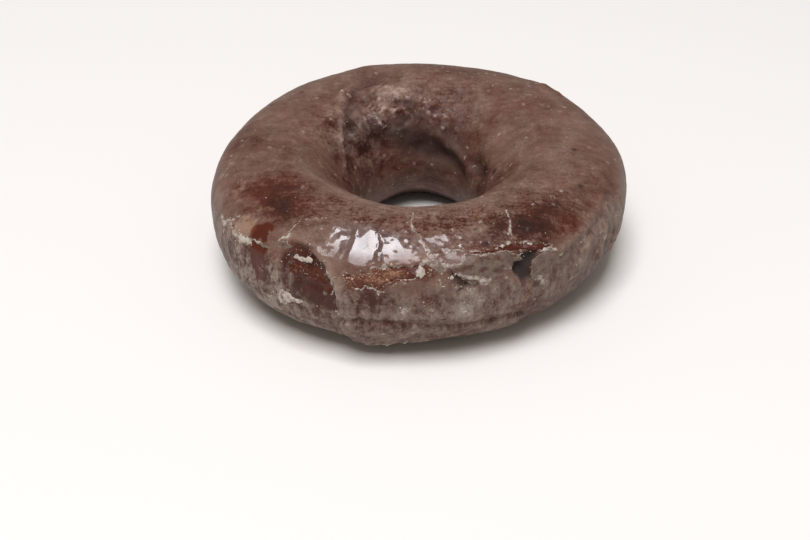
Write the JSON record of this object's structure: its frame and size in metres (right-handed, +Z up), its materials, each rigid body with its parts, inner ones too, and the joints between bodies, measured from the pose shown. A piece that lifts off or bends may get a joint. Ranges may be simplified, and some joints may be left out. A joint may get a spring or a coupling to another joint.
{
  "type": "chocolate glazed doughnut",
  "caption": "Ring doughnut of chocolate dough under a milky chocolate glaze that has cracked and flaked round its front shoulder.",
  "frame": {"origin": "centre of the doughnut's box, on the plane that it rests on", "axes": "+Z up through the hole, with the cracked shoulder facing -Y"},
  "size_m": [0.0918, 0.088, 0.0279],
  "materials": {
    "glaze": "thin milky sugar glaze over dark fried chocolate dough, satin with glossy plates"
  },
  "bodies": {
    "root": {"doughnut": "glaze"}
  },
  "joints": []
}
